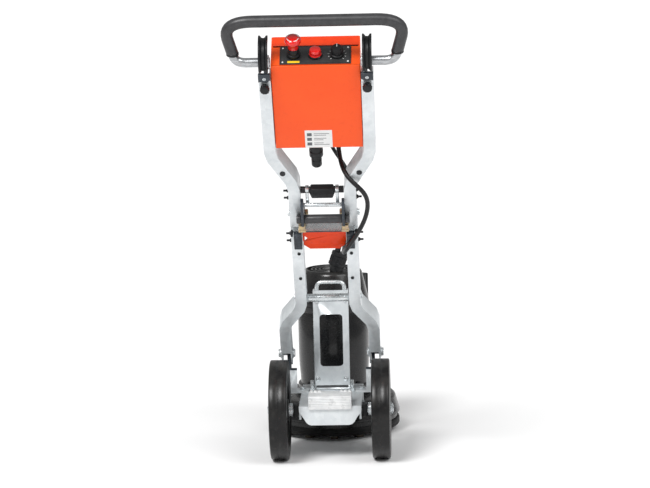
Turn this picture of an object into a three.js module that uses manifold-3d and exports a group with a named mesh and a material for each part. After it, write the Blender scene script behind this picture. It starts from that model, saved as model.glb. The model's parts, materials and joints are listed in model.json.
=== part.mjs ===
import * as THREE from 'three';
import { mergeVertices } from 'three/addons/utils/BufferGeometryUtils.js';
import Module from 'manifold-3d';

// Walk-behind concrete grinder. Millimetres, X to the right, Y forward from the axle, Z up from the floor.

// Driving dimensions
const frontBackShift = 6.37;    // moves the middle of the machine's length onto the origin
const gap = 0.4;               // running gap between neighbouring pieces
const sheet = 4;               // galvanised sheet of the frames
const wheel = { radius: 125, width: 42, bulge: 5, offset: 127, rim: 84, hub: 27 };
const axle = { radius: 10, height: 125, end: 158 };
const head = { y: 350, hoodRadius: 163, topZ: 98, motorRadius: 95, motorTop: 336 };
const disc = { radius: 138, segments: 12 };
const deck = { topZ: 140, halfWidth: 78, back: -38, front: 240 };
const tiltPivot = { y: 130, z: 245, radius: 6 };
const lean = THREE.MathUtils.degToRad(37.5);
const member = { half: 14, back: -22, front: 26 };
const lowerX = { wide: 112, narrow: 67 };
const upperX = { narrow: 67, wide: 118 };
const clampZ = 948;             // height of the bar clamps up the handle
const fold = { y: 18, z: 490, radius: 5 };
const latch = { y: -25, z: 598, radius: 7 };
const consoleBox = { half: 102.5, back: -12, front: 84, low: 742, top: 1003 };
const barLean = THREE.MathUtils.degToRad(15.8);
const bar = { z: 1002.5, radius: 11, grip: 14, width: 199, height: 104 };
const controls = { y: 18, stopX: -50, startX: 0, knobX: 50 };
const inlet = { x: -10, y: 8 };
const connector = { x: 12, y: 300, z: 441, tilt: THREE.MathUtils.degToRad(20), length: 36 };
const leads = { bigX: 40, smallX: 18, y: 62, bigRadius: 5.5, smallRadius: 4.5, glandLength: 16 };

const wasm = await Module();
wasm.setup();

// Finishes
const finish = (color, roughness, metalness) =>
  new THREE.MeshStandardMaterial({ color, roughness, metalness });
const zinc = finish(0xb9bdbb, 0.45, 0.8);
const brightZinc = finish(0xc9cdd2, 0.3, 0.9);
const castAlloy = finish(0xe4e4e0, 0.4, 0.7);
const darkSteel = finish(0x3f4246, 0.5, 0.6);
const blackPaint = finish(0x17181a, 0.3, 0.1);
const blackPlastic = finish(0x1b1c1e, 0.55, 0);
const rubber = finish(0x202123, 0.7, 0);
const foam = finish(0x3a3a3c, 0.9, 0);
const orange = finish(0xdd5a26, 0.45, 0.1);
const panelGrey = finish(0x45474a, 0.5, 0.2);
const red = finish(0xc3202a, 0.35, 0);
const chrome = finish(0xd8dadc, 0.15, 1);
const copper = finish(0xa8643a, 0.4, 0.8);
const steel = finish(0x8f9296, 0.35, 0.9);

// Solids: a geometry as a manifold-3d body, and back
function solid(geometry) {
  const bare = geometry.clone();
  bare.deleteAttribute('normal');
  bare.deleteAttribute('uv');
  const merged = mergeVertices(bare, 1e-3);
  const corners = [...merged.index.array];
  const kept = [];
  for (let i = 0; i < corners.length; i += 3) {
    const [a, b, c] = corners.slice(i, i + 3);
    if (a !== b && b !== c && c !== a) kept.push(a, b, c);
  }
  const vertProperties = merged.getAttribute('position').array;
  if (signedVolume(vertProperties, kept) < 0) kept.reverse();
  return new wasm.Manifold(new wasm.Mesh({ numProp: 3, vertProperties, triVerts: new Uint32Array(kept) }));
}

function signedVolume(points, corners) {
  const at = (i) => new THREE.Vector3().fromArray(points, 3 * corners[i]);
  let sum = 0;
  for (let i = 0; i < corners.length; i += 3) sum += at(i).dot(at(i + 1).cross(at(i + 2)));
  return sum;
}

function geometryOf(body) {
  const mesh = body.getMesh();
  const geometry = new THREE.BufferGeometry();
  geometry.setAttribute('position', new THREE.BufferAttribute(mesh.vertProperties, 3));
  geometry.setIndex(new THREE.BufferAttribute(mesh.triVerts, 1));
  geometry.computeVertexNormals();
  return geometry;
}

const join = (...parts) => parts.map(solid).reduce((sum, part) => sum.add(part));
const cut = (body, ...tools) => tools.map(solid).reduce((rest, tool) => rest.subtract(tool), body);

// Shapes
const onX = new THREE.Matrix4().makeBasis(
  new THREE.Vector3(0, 1, 0),
  new THREE.Vector3(0, 0, 1),
  new THREE.Vector3(1, 0, 0),
);
const onY = new THREE.Matrix4().makeBasis(
  new THREE.Vector3(0, 0, 1),
  new THREE.Vector3(1, 0, 0),
  new THREE.Vector3(0, 1, 0),
);
const turn = { x: onX, y: onY, z: new THREE.Matrix4() };

// Box between two opposite corners.
function block(x0, x1, y0, y1, z0, z1) {
  const box = new THREE.BoxGeometry(Math.abs(x1 - x0), y1 - y0, z1 - z0);
  return box.translate((x0 + x1) / 2, (y0 + y1) / 2, (z0 + z1) / 2);
}

// Cylinder whose axis runs along one axis from a to b, through the point (p, q) of the other two.
function rod(axis, radius, a, b, p = 0, q = 0, sides = 12) {
  const depth = Math.abs(b - a);
  const body = new THREE.ExtrudeGeometry(circle(radius, sides), { depth, bevelEnabled: false });
  body.translate(0, 0, Math.min(a, b)).applyMatrix4(turn[axis]);
  if (axis === 'x') return body.translate(0, p, q);
  if (axis === 'y') return body.translate(p, 0, q);
  return body.translate(p, q, 0);
}

function circle(radius, sides) {
  const step = (2 * Math.PI) / sides;
  const corners = Array.from({ length: sides }, (_, i) => [
    radius * Math.cos(i * step), radius * Math.sin(i * step),
  ]);
  return outline(corners);
}

const outline = (corners) => new THREE.Shape(corners.map(([a, b]) => new THREE.Vector2(a, b)));

// Sheet with its outline in the YZ plane, thick along X from x0 to x1.
function sheetX(corners, x0, x1) {
  const body = new THREE.ExtrudeGeometry(outline(corners), { depth: Math.abs(x1 - x0), bevelEnabled: false });
  return body.translate(0, 0, Math.min(x0, x1)).applyMatrix4(onX);
}

// Sheet with its outline in the XZ plane, thick along Y from y0 to y1.
function sheetY(corners, y0, y1) {
  const body = new THREE.ExtrudeGeometry(outline(corners), { depth: y1 - y0, bevelEnabled: false });
  return body.rotateX(Math.PI / 2).translate(0, y1, 0);
}

// Turned piece about Z from a profile of [radius, height].
function turned(profile, sides = 32, closed = true) {
  const points = profile.map(([r, z]) => new THREE.Vector2(r, z));
  if (closed) points.push(points[0].clone());
  return new THREE.LatheGeometry(points, sides).rotateX(Math.PI / 2);
}

// Round bar along a curve.
function swept(path, radius, sides, steps) {
  return new THREE.ExtrudeGeometry(circle(radius, sides), { steps, extrudePath: path, bevelEnabled: false });
}

// Outline of a strip of even width along a bent centre line, mitred at its corners.
function strip(centre, half) {
  const points = centre.map(([a, b]) => new THREE.Vector2(a, b));
  const side = (sign) => points.map((point, i) => {
    const before = point.clone().sub(points[Math.max(i - 1, 0)]).normalize();
    const after = points[Math.min(i + 1, points.length - 1)].clone().sub(point).normalize();
    const along = before.add(after).normalize();
    const next = i < points.length - 1 ? points[i + 1].clone().sub(point) : point.clone().sub(points[i - 1]);
    const mitre = Math.abs(along.dot(next.normalize()));
    return [point.x - (sign * half * along.y) / mitre, point.y + (sign * half * along.x) / mitre];
  });
  return [...side(1), ...side(-1).reverse()];
}

const machine = new THREE.Group();
machine.position.y = frontBackShift;

// A named piece of the machine; body is a geometry or a manifold-3d solid.
function piece(parent, name, body, material, x = 0, y = 0, z = 0) {
  const mesh = new THREE.Mesh(body.isBufferGeometry ? body : geometryOf(body), material.clone());
  mesh.name = name;
  mesh.position.set(x, y, z);
  parent.add(mesh);
  return mesh;
}

const sides = [['left', -1], ['right', 1]];

// Road wheels
function wheels(parent) {
  const half = wheel.width / 2;
  const wall = half + wheel.bulge;
  const tyreProfile = [
    [wheel.rim + gap, -half + 4], [wheel.rim + 12, -wall], [wheel.radius - 22, -wall],
    [wheel.radius - 4, -half],
    [wheel.radius, -half + 4], [wheel.radius, half - 4], [wheel.radius - 4, half], [wheel.radius - 22, wall],
    [wheel.rim + 12, wall], [wheel.rim + gap, half - 4],
  ];
  const rimProfile = [
    [axle.radius + gap, -22], [wheel.hub, -22], [wheel.hub, -8], [wheel.rim - 8, -6], [wheel.rim - 8, -16],
    [wheel.rim, -16], [wheel.rim, 16], [wheel.rim - 8, 16], [wheel.rim - 8, 6], [wheel.hub, 8],
    [wheel.hub, 22],
    [axle.radius + gap, 22],
  ];
  for (const [side, sign] of sides) {
    const group = new THREE.Group();
    group.position.set(sign * wheel.offset, 0, axle.height);
    group.rotation.y = Math.PI / 2;
    parent.add(group);
    piece(group, `tyre_${side}`, turned(tyreProfile, 32), rubber);
    piece(group, `rim_${side}`, turned(rimProfile, 20), blackPlastic);
  }
}

// Axle with its inner shoulders and end washers
function axleRod(parent) {
  const shoulder = wheel.offset - 22 - gap;
  const outer = wheel.offset + 22 + gap;
  piece(parent, 'axle', join(
    rod('x', axle.radius, -axle.end, axle.end),
    ...sides.flatMap(([, sign]) => [
      rod('x', 16, sign * (shoulder - 10), sign * shoulder),
      rod('x', 16, sign * outer, sign * (outer + 3)),
    ]),
  ), brightZinc, 0, 0, axle.height);
}

// Galvanised deck between the wheels and the grinding head
function deckPlate(parent) {
  const { topZ, halfWidth, back, front } = deck;
  const top = topZ - 6;
  const shoulder = topZ - 14;
  const lip = [
    [-halfWidth, topZ], [halfWidth, topZ], [halfWidth, shoulder], [67, 111], [60, 99], [54, 94], [47, 92],
    [-47, 92], [-54, 94], [-60, 99], [-67, 111], [-halfWidth, shoulder],
  ];
  const side = [[back, topZ], [back, shoulder], [back + 14, 104], [20, 104], [180, 98.4], [front, 98.4],
    [front, topZ]];
  const shell = join(
    block(-halfWidth, halfWidth, back, front, top, topZ),
    sheetY(lip, back, back + 5),
    ...sides.map(([, sign]) => sheetX(side, sign * (halfWidth - 5), sign * halfWidth)),
  );
  const axleHole = rod('x', axle.radius + gap, -halfWidth - 1, halfWidth + 1, 0, axle.height);
  piece(parent, 'base_plate', cut(shell, axleHole), zinc);
}

// Upright brackets that carry the handle's tilt pivot
function sideBrackets(parent) {
  const { y, z } = tiltPivot;
  const arc = Array.from({ length: 9 }, (_, i) => {
    const angle = Math.PI - (i * Math.PI) / 8;
    return [y + 18 * Math.cos(angle), z + 18 * Math.sin(angle)];
  });
  const cheek = [...arc, [170, 180], [170, 140.4], [128, 140.4], [128, 200]];
  for (const [side, sign] of sides) {
    const body = join(
      sheetX(cheek, sign * 103, sign * 111),
      block(sign * 60, sign * 104, 128, 170, 140.4, 146),
      block(sign * 88, sign * 104, 128, 134, 145, 205),
    );
    piece(parent, `side_bracket_${side}`, cut(body, rod('x', 6.5, sign * 100, sign * 114, y, z)), zinc);
    const bolt = join(rod('x', 6, sign * 91, sign * 134, y, z), rod('x', 11, sign * 91, sign * 97.4, y, z, 6),
      rod('x', 11, sign * 126.6, sign * 134, y, z, 6));
    piece(parent, `pivot_bolt_${side}`, bolt, steel);
  }
}

// Foot step on the back edge of the deck
function footStep(parent) {
  piece(parent, 'foot_step', join(
    block(-54, 54, -46, 22, 140.4, 166.5),
    block(-54, 54, -46, -38.6, 133.4, 141),
    ...sides.flatMap(([, sign]) => [28, 38, 48].map((x) => rod('y', 4.5, 8, 22, sign * x, 166, 12))),
  ), castAlloy);
}

// Centre plate with its window, and the carrying loop behind it
function centrePlate(parent) {
  const body = join(
    block(-45, 45, 168, 172, 152, 398),
    block(-45, -41, 168, 196, 140.4, 398),
    block(41, 45, 168, 196, 140.4, 398),
    block(-45, 45, 168, 200, 140.4, 145),
  );
  const window = [block(-20.5, 20.5, 160, 180, 201, 336), block(-29.5, 29.5, 160, 180, 210, 327),
    ...[-20.5, 20.5].flatMap((x) => [210, 327].map((z) => rod('y', 9, 160, 180, x, z, 24)))];
  piece(parent, 'centre_plate', cut(body, ...window), zinc);
  const loop = new THREE.CurvePath();
  const at = (x, z) => new THREE.Vector3(x, 178, z);
  loop.add(new THREE.LineCurve3(at(-35, 350), at(-35, 404)));
  loop.add(new THREE.QuadraticBezierCurve3(at(-35, 404), at(-35, 418), at(-21, 418)));
  loop.add(new THREE.LineCurve3(at(-21, 418), at(21, 418)));
  loop.add(new THREE.QuadraticBezierCurve3(at(21, 418), at(35, 418), at(35, 404)));
  loop.add(new THREE.LineCurve3(at(35, 404), at(35, 350)));
  piece(parent, 'carry_loop', swept(loop, 5, 8, 24), brightZinc);
}

// Grinding hood, its floating skirt, the disc and the spindle
function grindingHead(parent) {
  const { hoodRadius, topZ } = head;
  const place = [0, head.y, 0];
  piece(parent, 'grinding_hood', turned([
    [hoodRadius, 16], [hoodRadius, 46], [hoodRadius + 6, 47], [hoodRadius + 6, 54], [158, 90], [150, topZ],
    [24, topZ], [24, topZ - 6], [147, topZ - 6], [152, 88], [hoodRadius - 6, 50], [hoodRadius - 5, 16],
  ], 32), blackPaint, ...place);
  piece(parent, 'hood_skirt', turned([
    [hoodRadius + 0.6, 14], [hoodRadius + 3.5, 14], [hoodRadius + 5.5, 17], [hoodRadius + 5.5, 28],
    [hoodRadius + 3.5, 33], [hoodRadius + 0.6, 33],
  ], 32), rubber, ...place);
  piece(parent, 'grinding_disc', turned([
    [16, 12.4], [disc.radius, 12.4], [disc.radius, 20], [60, 24], [34, 40], [16, 40],
  ], 32), steel, ...place);
  const teeth = Array.from({ length: disc.segments }, (_, i) => {
    const tooth = block(100, 136, -9, 9, 0, 8);
    return tooth.rotateZ((i * 2 * Math.PI) / disc.segments);
  });
  const ring = turned([[96, 7], [137, 7], [137, 12], [96, 12]], 32);
  piece(parent, 'segment_ring', join(ring, ...teeth), copper, ...place);
  piece(parent, 'rotor_shaft', turned([[0, 8], [15, 8], [15, 372], [0, 372]], 20, false), steel, ...place);
}

// Electric motor
function motor(parent) {
  const { topZ, motorRadius, motorTop, y } = head;
  const place = [0, y, 0];
  piece(parent, 'motor_flange', turned([
    [20, topZ + gap], [104, topZ + gap], [104, 112], [40, 112], [40, 128], [30.5, 128], [30.5, 113],
    [20, 113],
  ], 32), blackPaint, ...place);
  piece(parent, 'motor_housing', turned([
    [86, 112.4], [motorRadius, 112.4], [motorRadius, motorTop - 8], [motorRadius - 6, motorTop],
    [20, motorTop],
    [20, 326], [30.5, 326], [30.5, 309], [40, 309], [40, 322], [86, 322],
  ], 32), blackPaint, ...place);
  for (const [name, low] of [['lower_bearing', 113.4], ['upper_bearing', 310]]) {
    const ring = turned([[15.4, low], [30, low], [30, low + 14], [15.4, low + 14]], 20);
    piece(parent, name, ring, steel, ...place);
  }
  piece(parent, 'stator', turned([[61, 145], [85.6, 145], [85.6, 295], [61, 295]], 24), copper, ...place);
  piece(parent, 'rotor', turned([[15.4, 150], [60, 150], [60, 290], [15.4, 290]], 20), steel, ...place);
  const blade = (i) => block(20, 62, -1.5, 1.5, 348, 366).rotateZ((i * Math.PI) / 4);
  const blades = Array.from({ length: 8 }, (_, i) => blade(i));
  const hub = turned([[15.4, 346], [60, 346], [60, 349], [24, 349], [24, 368], [15.4, 368]], 16);
  piece(parent, 'cooling_fan', join(hub, ...blades), blackPlastic, ...place);
  const shell = solid(turned([
    [90, motorTop + gap], [94, motorTop + gap], [92, 352], [76, 418], [70, 426], [0, 426], [0, 423],
    [68, 423],
    [73, 417], [89, 352],
  ], 32));
  const slot = (i) => block(24, 62, -3, 3, 415, 430).rotateZ((i * Math.PI) / 6);
  const slots = Array.from({ length: 12 }, (_, i) => slot(i));
  piece(parent, 'fan_cover', cut(shell, ...slots), blackPaint, ...place);
}

// Terminal box on the motor's front right, and the lead connector on top
function motorFittings(parent) {
  const box = new THREE.Group();
  box.position.set(0, head.y, 0);
  box.rotation.z = THREE.MathUtils.degToRad(62);
  parent.add(box);
  piece(box, 'terminal_box', block(97, 135, -32, 32, 318, 396), blackPlastic);
  const tilted = rod('z', 22, 0, 36).rotateY(connector.tilt).translate(connector.x, connector.y, connector.z);
  const pedestal = rod('z', 17, 426.4, 448, connector.x, connector.y);
  piece(parent, 'motor_connector', join(pedestal, tilted), blackPlastic);
}


// Channel-section member with its web to the back, bent along a centre line of [x, height].
function channel(centre) {
  const { half, back, front } = member;
  const outer = sheetY(strip(centre, half), back, front);
  const inner = sheetY(strip(stretched(centre), half - sheet), back + sheet, front + 1);
  return cut(solid(outer), inner);
}

// The centre line carried 5 mm past both its ends.
function stretched(centre) {
  const first = centre[0];
  const last = centre[centre.length - 1];
  return [[first[0], first[1] - 5], ...centre.slice(1, -1), [last[0], last[1] + 5]];
}

// Lower handle frame, from the tilt pivot to the fold hinge
function lowerHandle(parent) {
  for (const [side, sign] of sides) {
    const { wide, narrow } = lowerX;
    const centre = [
      [wide, -24], [wide, 108], [wide - 6, 131], [narrow + 6, 182], [narrow, 204], [narrow, 462],
    ];
    const placed = centre.map(([x, z]) => [sign * x, z]);
    const webCut = block(sign * 96, sign * 128, -30, member.back + sheet + 0.1, -40, 22);
    const bolt = rod('x', 6.5, sign * 90, sign * 134, 0, 0);
    piece(parent, `lower_frame_${side}`, cut(channel(placed), webCut, bolt), zinc);
  }
  piece(parent, 'cross_tube', rod('x', 10, -52.6, 52.6, 0, 205), brightZinc);
  const guard = [[-51, 462], [51, 462], [51, 418], [36, 404], [-36, 404], [-51, 418], [-51, 428], [-40, 440],
    [-51, 452]];
  const guardBody = join(sheetY(guard, -21, -18), block(-52.4, -48.4, -21, 10, 430, 460),
    block(48.4, 52.4, -21, 10, 430, 460));
  piece(parent, 'guard_plate', guardBody, orange);
}

// Fold bracket: a cap over the lower members and two dark arms for the hinge, the bumper and the catch bar
function foldBracket(parent) {
  const arm = [[26, 466], [30, 482], [30, 498], [24, 504], [10, 504], [-6, 536], [-14, 570], [-20, 577],
    [-32, 577], [-38, 570], [-48, 536], [-48, 508], [-22, 490], [-22, 466]];
  const tools = sides.flatMap(([, sign]) => [
    rod('x', fold.radius + 0.5, sign * 40, sign * 60, fold.y, fold.z),
    rod('x', 8.4, sign * 40, sign * 60, -35, 522),
    rod('x', 5.4, sign * 40, sign * 60, latch.y, 560),
  ]);
  const body = join(block(-81, 81, member.back, member.front, 462.4, 467),
    ...sides.map(([, sign]) => sheetX(arm, sign * 46, sign * 52.4)));
  piece(parent, 'fold_bracket', cut(body, ...tools), darkSteel);
  piece(parent, 'catch_bar', rod('x', 5, -52.4, 52.4, latch.y, 560), brightZinc);
  piece(parent, 'bumper_bar', join(rod('x', 8, -60, 60, -35, 522), rod('x', 11, -45.6, 45.6, -35, 522),
    ...sides.map(([, sign]) => rod('x', 11, sign * 53, sign * 64, -35, 522))), foam);
  for (const [side, sign] of sides) {
    const pin = join(rod('x', fold.radius, sign * 38, sign * 88, fold.y, fold.z),
      rod('x', 10, sign * 38, sign * 45.6, fold.y, fold.z, 6),
      rod('x', 9, sign * 81.4, sign * 88, fold.y, fold.z, 6));
    piece(parent, `fold_pin_${side}`, pin, brightZinc);
  }
}

// Upper handle frame, above the fold hinge
function upperHandle(parent) {
  const { narrow, wide } = upperX;
  const centre = [
    [narrow, 482], [narrow, 606], [narrow + 6, 632], [wide - 6, 708], [wide, 734], [wide, 962],
  ];
  for (const [side, sign] of sides) {
    const placed = centre.map(([x, z]) => [sign * x, z]);
    const tools = [rod('x', fold.radius + 0.5, sign * 50, sign * 84, fold.y, fold.z),
      rod('x', latch.radius + 0.5, sign * 50, sign * 60, latch.y + 14, latch.z),
      rod('y', 5, -30, 0, sign * wide, clampZ)];
    piece(parent, `upper_frame_${side}`, cut(channel(placed), ...tools), zinc);
    const plate = join(block(sign * 112, sign * 119, -15, 15, 880, bar.z),
      rod('x', 17, sign * 106, sign * 119, 0, bar.z));
    const plateCuts = [rod('x', bar.radius + 0.5, sign * 100, sign * 125, 0, bar.z),
      rod('y', 5, -20, 20, sign * wide, clampZ)];
    piece(parent, `bar_bracket_${side}`, cut(plate, ...plateCuts), brightZinc);
    piece(parent, `cable_hook_${side}`, cableHook(sign), blackPlastic);
  }
}

// Grooved arc that the supply lead is wound on
function cableHook(sign) {
  const centre = { x: sign * 119, y: 20, z: 1004 };
  const half = 11;
  const ring = turned([
    [40, -half], [50, -half], [50, -half + 4], [44, -3], [44, 3], [50, half - 4], [50, half],
    [40, half]], 36);
  ring.applyMatrix4(onX).translate(centre.x, centre.y, centre.z);
  const web = rod('x', 41, sign * 119.4, sign * 123.4, centre.y, centre.z, 36);
  const barHole = rod('x', bar.radius + 1, sign * 105, sign * 126, 0, bar.z);
  const wedge = (from, to) => {
    const fan = Array.from({ length: 7 }, (_, i) => {
      const angle = THREE.MathUtils.degToRad(from + ((to - from) * i) / 6);
      return [centre.y + 90 * Math.cos(angle), centre.z + 90 * Math.sin(angle)];
    });
    return sheetX([[centre.y, centre.z], ...fan], sign * 100, sign * 140);
  };
  return cut(join(ring, web), barHole, wedge(-170, -60), wedge(-61, 65));
}

// Control console between the upper members
function controlConsole(parent) {
  const { half, back, front, low, top } = consoleBox;
  const openings = [
    block(-half + 2.5, half - 2.5, back - 1, front - 2.5, low + 2.5, top - 2.5),
    rod('z', 12.5, top - 5, top + 5, controls.stopX, controls.y),
    rod('z', 9.5, top - 5, top + 5, controls.startX, controls.y),
    rod('z', 5.5, top - 5, top + 5, controls.knobX, controls.y),
    rod('z', leads.bigRadius + 1, low - 20, low + 5, leads.bigX, leads.y),
    rod('z', leads.smallRadius + 1, low - 20, low + 5, leads.smallX, leads.y),
    rod('z', 14, low - 5, low + 5, inlet.x, inlet.y),
  ];
  const shell = join(block(-half, half, back, front, low, top),
    rod('z', 10, low - leads.glandLength, low + 1, leads.bigX, leads.y),
    rod('z', 9, low - leads.glandLength, low + 1, leads.smallX, leads.y));
  piece(parent, 'console_box', cut(shell, ...openings), orange);
  piece(parent, 'console_cover', block(-half, half, back - 4, back - gap, low, top), orange);
  piece(parent, 'inverter', block(-70, 70, 10, 74, 800, 950), darkSteel);
  const holes = [rod('z', 12.5, top - 5, top + 9, controls.stopX, controls.y),
    rod('z', 9.5, top - 5, top + 9, controls.startX, controls.y),
    rod('z', 5.5, top - 5, top + 9, controls.knobX, controls.y)];
  const panel = solid(block(-82, 82, -11, 49, top + gap, top + 3));
  piece(parent, 'control_panel', cut(panel, ...holes), panelGrey);
  const socket = join(rod('z', 16.5, low - 46, low - gap, inlet.x, inlet.y),
    rod('z', 12.5, low - 78, low - 45, inlet.x, inlet.y),
    rod('z', 13, low - 2, low + 12, inlet.x, inlet.y));
  const mouth = rod('z', 9, low - 80, low - 56, inlet.x, inlet.y);
  piece(parent, 'power_inlet', cut(socket, mouth), blackPlastic);
}

// Controls that move: emergency stop, start button and speed knob
function controlKnobs(parent) {
  const face = consoleBox.top + 3;
  const stop = [
    [0, -10], [12, -10], [12, 30], [14, 38], [18.5, 43], [19, 47], [17, 52], [11, 55], [0, 56],
  ];
  piece(parent, 'emergency_stop', turned(stop, 20, false), red, controls.stopX, controls.y, face);
  const start = [[0, -10], [9, -10], [9, 4], [14.5, 4], [14.5, 12], [12, 17], [6, 19], [0, 19.5]];
  piece(parent, 'start_button', turned(start, 16, false), red, controls.startX, controls.y, face);
  const knob = [[0, -10], [5, -10], [5, 1], [16, 1], [16, 6], [13.5, 8], [13, 21], [11, 23], [0, 23]];
  piece(parent, 'speed_knob', turned(knob, 16, false), blackPlastic, controls.knobX, controls.y, face);
}

// Sprung latch that catches the bar of the fold bracket
function foldLatch(parent) {
  const { y, z } = latch;
  const claw = [
    [6, 9], [6, -8], [8, -32], [8, -43], [4, -45.5], [5, -48], [14, -46], [18, -30], [22, -8], [22, 9],
  ];
  const moved = claw.map(([a, b]) => [y + a, z + b]);
  piece(parent, 'fold_latch', join(
    rod('x', 7, -52, 52, y + 14, z),
    block(-28, 28, y + 2, y + 24, z - 11, z + 11),
    ...sides.map(([, sign]) => sheetX(moved, sign * 31, sign * 41)),
  ), blackPlastic);
}

// Handlebar loop that swivels in its brackets
function handlebar(parent) {
  const group = new THREE.Group();
  group.position.z = bar.z;
  group.rotation.x = -barLean;
  parent.add(group);
  const at = (x, z) => new THREE.Vector3(x, 0, z);
  const { width, height } = bar;
  const halfLoop = [
    at(-104, 0), at(-160, 0), at(-187, 0), at(-189, 26), at(-width, 62), at(-width - 9, height),
    at(-width + 58, height)];
  const [end, bend, corner, rise, shoulder, top, flat] = halfLoop;
  const mirrored = (p) => at(-p.x, p.z);
  const loop = new THREE.CurvePath();
  loop.add(new THREE.LineCurve3(end, bend));
  loop.add(new THREE.QuadraticBezierCurve3(bend, corner, rise));
  loop.add(new THREE.LineCurve3(rise, shoulder));
  loop.add(new THREE.QuadraticBezierCurve3(shoulder, top, flat));
  loop.add(new THREE.LineCurve3(flat, mirrored(flat)));
  loop.add(new THREE.QuadraticBezierCurve3(mirrored(flat), mirrored(top), mirrored(shoulder)));
  loop.add(new THREE.LineCurve3(mirrored(shoulder), mirrored(rise)));
  loop.add(new THREE.QuadraticBezierCurve3(mirrored(rise), mirrored(corner), mirrored(bend)));
  loop.add(new THREE.LineCurve3(mirrored(bend), mirrored(end)));
  const tools = [swept(loop, bar.radius + gap, 8, 44), block(-230, 230, -30, 30, -30, 24)];
  piece(group, 'handlebar_tube', swept(loop, bar.radius, 8, 44), chrome);
  piece(group, 'handlebar_grip', cut(solid(swept(loop, bar.grip, 8, 44)), ...tools), foam);
}

// Screws that clamp the bar brackets in the upper members
function clampKnobs(parent) {
  for (const [side, sign] of sides) {
    const knob = join(rod('y', 10.5, -40, member.back - gap, sign * upperX.wide, clampZ),
      rod('y', 4.2, -30, 12, sign * upperX.wide, clampZ));
    piece(parent, `clamp_knob_${side}`, knob, blackPlastic);
  }
}

// Motor leads, each in two lengths that meet beside the fold
function motorLeads(parent) {
  const spot = (x, y, z) => new THREE.Vector3(x, y, z);
  const fromHandle = (x, y, z) => spot(
    x,
    tiltPivot.y + y * Math.cos(lean) - z * Math.sin(lean),
    tiltPivot.z + y * Math.sin(lean) + z * Math.cos(lean),
  );
  const out = consoleBox.low - leads.glandLength - gap;
  const normal = spot(Math.sin(connector.tilt), 0, Math.cos(connector.tilt));
  const across = spot(Math.cos(connector.tilt), 0, -Math.sin(connector.tilt));
  const top = spot(connector.x, connector.y, connector.z).addScaledVector(normal, connector.length);
  const socket = (offset, lift) => top.clone().addScaledVector(across, offset).addScaledVector(normal, lift);
  const routes = {
    motor_lead: [leads.bigRadius, [
      fromHandle(leads.bigX, leads.y, out), fromHandle(leads.bigX, leads.y, out - 25),
      fromHandle(43, 42, 680), fromHandle(50, -6, 660), fromHandle(72, -37, 650), fromHandle(95, -43, 632),
      fromHandle(110, -39, 600), fromHandle(110, -39, 560), fromHandle(98, -41, 510),
      fromHandle(73, -46, 462), fromHandle(50, -34, 408), spot(43, -50, 530), spot(43, 80, 530),
      spot(50, 180, 544), spot(58, 246, 547), spot(55, 286, 532), socket(9, 30), socket(9, gap)]],
    signal_lead: [leads.smallRadius, [
      fromHandle(leads.smallX, leads.y, out), fromHandle(leads.smallX, leads.y, out - 25),
      spot(60, -185, 752), spot(75, -50, 668), spot(58, 80, 619), spot(42, 200, 573), spot(39, 260, 548),
      spot(36, 287, 533), socket(-9, 30), socket(-9, gap)]],
  };
  for (const [name, [radius, route]] of Object.entries(routes)) {
    const curve = new THREE.CatmullRomCurve3(route);
    const middle = 0.5;
    const space = 1 / curve.getLength();
    const stretch = (from, to) => new THREE.CatmullRomCurve3(
      Array.from({ length: 25 }, (_, i) => curve.getPointAt(from + ((to - from) * i) / 24)),
    );
    piece(parent, `${name}_upper`, swept(stretch(0, middle - space), radius, 8, 34), rubber);
    piece(parent, `${name}_lower`, swept(stretch(middle + space, 1), radius, 8, 34), rubber);
  }
}

wheels(machine);
axleRod(machine);
deckPlate(machine);
sideBrackets(machine);
footStep(machine);
centrePlate(machine);
grindingHead(machine);
motor(machine);
motorFittings(machine);
motorLeads(machine);

const handle = new THREE.Group();
handle.position.set(0, tiltPivot.y, tiltPivot.z);
handle.rotation.x = lean;
machine.add(handle);
lowerHandle(handle);
foldBracket(handle);
upperHandle(handle);
controlConsole(handle);
controlKnobs(handle);
foldLatch(handle);
handlebar(handle);
clampKnobs(handle);

export default machine;
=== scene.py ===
import json
from math import cos, pi, radians, sin

import bmesh
import bpy
from mathutils import Matrix, Vector


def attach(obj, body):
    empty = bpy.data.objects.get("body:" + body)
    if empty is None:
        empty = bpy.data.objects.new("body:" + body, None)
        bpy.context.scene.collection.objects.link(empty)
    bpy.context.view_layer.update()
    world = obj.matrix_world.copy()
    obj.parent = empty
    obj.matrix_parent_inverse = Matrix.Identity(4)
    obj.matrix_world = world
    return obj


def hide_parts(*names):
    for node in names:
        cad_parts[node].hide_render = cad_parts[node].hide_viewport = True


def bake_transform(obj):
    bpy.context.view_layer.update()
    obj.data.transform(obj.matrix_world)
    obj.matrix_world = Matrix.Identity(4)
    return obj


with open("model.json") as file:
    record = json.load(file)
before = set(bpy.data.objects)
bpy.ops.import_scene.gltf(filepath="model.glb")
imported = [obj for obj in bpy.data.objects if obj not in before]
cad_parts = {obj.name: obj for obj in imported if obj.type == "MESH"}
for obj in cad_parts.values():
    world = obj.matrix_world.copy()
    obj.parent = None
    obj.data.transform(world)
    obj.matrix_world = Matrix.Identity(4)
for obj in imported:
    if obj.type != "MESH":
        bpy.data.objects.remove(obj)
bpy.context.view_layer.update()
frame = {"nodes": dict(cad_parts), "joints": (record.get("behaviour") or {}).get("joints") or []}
cadNodes = frame["nodes"]
joints = {joint["name"]: joint for joint in frame["joints"]}
collection = bpy.context.scene.collection

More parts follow.
